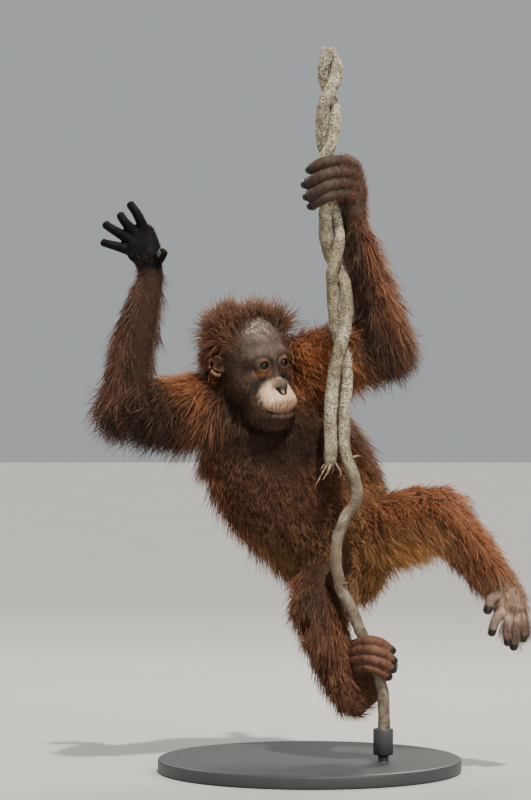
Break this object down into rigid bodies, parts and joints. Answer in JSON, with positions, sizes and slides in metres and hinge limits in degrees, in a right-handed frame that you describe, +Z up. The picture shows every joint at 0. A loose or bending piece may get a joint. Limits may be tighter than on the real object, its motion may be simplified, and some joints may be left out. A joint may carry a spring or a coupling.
{
  "type": "orangutan model",
  "caption": "Still life-size model of a young orangutan hanging by one hand and one foot from a twisted liana, held by a flat round display stand.",
  "frame": {"origin": "middle of the stand base's underside", "axes": "+Z up, the animal's chest faces -Y and its left side is towards +X"},
  "size_m": [0.5725, 0.4, 0.9506],
  "materials": {
    "head_coat": "red-brown hair, standing on the crown",
    "chest_coat": "dark maroon-brown long hair with a faint sheen",
    "arm_coat": "maroon-brown to orange long hair",
    "leg_coat": "orange-brown long hair with golden tips",
    "face_skin": "grey-brown bare skin, paler round the eyes and on the muzzle",
    "hand_skin": "near-black creased bare skin",
    "foot_skin": "red-brown creased bare skin",
    "eyeball": "wet dark brown",
    "nail": "dark horn",
    "liana_bark": "rough olive-grey bark",
    "stand_paint": "satin dark grey paint"
  },
  "bodies": {
    "root": {"perch_liana_thick_strand": "liana_bark", "perch_liana_long_strand": "liana_bark", "stand_base": "stand_paint", "stand_collar": "stand_paint", "stand_rod": "stand_paint", "eye_left": "eyeball", "eye_right": "eyeball", "ear_left": "face_skin", "ear_right": "face_skin", "head": "head_coat", "trunk": "chest_coat", "neck": "head_coat", "pelvis": "leg_coat", "upper_arm_right": "arm_coat", "forearm_right": "arm_coat", "palm_right": "hand_skin", "upper_arm_left": "arm_coat", "forearm_left": "arm_coat", "palm_left": "hand_skin", "thigh_right": "leg_coat", "shank_right": "leg_coat", "foot_right": "foot_skin", "thigh_left": "leg_coat", "shank_left": "leg_coat", "foot_left": "foot_skin", "index_finger_right": "hand_skin", "middle_finger_right": "hand_skin", "ring_finger_right": "hand_skin", "little_finger_right": "hand_skin", "thumb_right": "hand_skin", "index_finger_left": "hand_skin", "middle_finger_left": "hand_skin", "ring_finger_left": "hand_skin", "little_finger_left": "hand_skin", "thumb_left": "hand_skin", "second_toe_right": "foot_skin", "third_toe_right": "foot_skin", "fourth_toe_right": "foot_skin", "fifth_toe_right": "foot_skin", "great_toe_right": "foot_skin", "second_toe_left": "foot_skin", "third_toe_left": "foot_skin", "fourth_toe_left": "foot_skin", "fifth_toe_left": "foot_skin", "great_toe_left": "foot_skin"}
  },
  "joints": []
}
